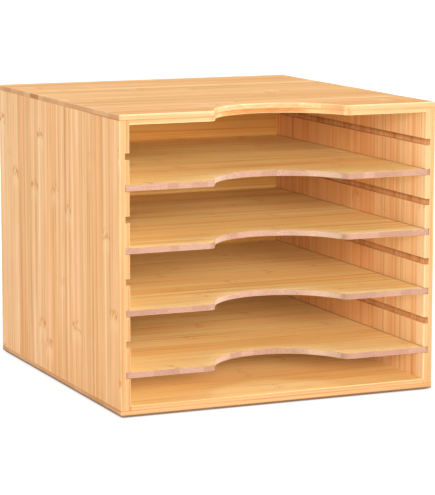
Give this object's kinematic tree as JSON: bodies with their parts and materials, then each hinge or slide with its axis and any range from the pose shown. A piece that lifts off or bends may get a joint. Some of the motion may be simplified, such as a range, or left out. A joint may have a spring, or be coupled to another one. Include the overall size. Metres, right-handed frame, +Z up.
{
  "type": "scrapbook paper organizer",
  "caption": "Open-fronted bamboo sorter that keeps square craft paper flat on removable shelves, which slide out of grooved sides and have a finger scoop in front.",
  "frame": {"origin": "middle of the footprint, on the surface that the organizer stands on", "axes": "+Z up, -Y towards the open front, +X to the right of someone facing the front"},
  "size_m": [0.336, 0.36, 0.2912],
  "materials": {
    "panel_bamboo": "satin clear-lacquered laminated bamboo, strips running left to right",
    "side_bamboo": "satin clear-lacquered laminated bamboo, strips running up and down",
    "back_bamboo": "satin laminated bamboo sheet, strips running left to right",
    "shelf_bamboo": "satin thin bamboo ply, strips running left to right, pinkish cut edge",
    "pad_rubber": "matt thin self-adhesive pad"
  },
  "bodies": {
    "case": {"top_panel": "panel_bamboo", "bottom_panel": "panel_bamboo", "left_side_panel": "side_bamboo", "right_side_panel": "side_bamboo", "back_panel": "back_bamboo", "foot_pad_front_left": "pad_rubber", "foot_pad_front_right": "pad_rubber", "foot_pad_back_left": "pad_rubber", "foot_pad_back_right": "pad_rubber"},
    "shelf_1": {"shelf_1": "shelf_bamboo"},
    "shelf_2": {"shelf_2": "shelf_bamboo"},
    "shelf_3": {"shelf_3": "shelf_bamboo"},
    "shelf_4": {"shelf_4": "shelf_bamboo"}
  },
  "joints": [
    {"name": "shelf_1_slide", "type": "slide", "parent": "case", "child": "shelf_1", "axis": [0, -1, 0], "range_m": [0, 0.36]},
    {"name": "shelf_2_slide", "type": "slide", "parent": "case", "child": "shelf_2", "axis": [0, -1, 0], "range_m": [0, 0.36]},
    {"name": "shelf_3_slide", "type": "slide", "parent": "case", "child": "shelf_3", "axis": [0, -1, 0], "range_m": [0, 0.36]},
    {"name": "shelf_4_slide", "type": "slide", "parent": "case", "child": "shelf_4", "axis": [0, -1, 0], "range_m": [0, 0.36]}
  ]
}
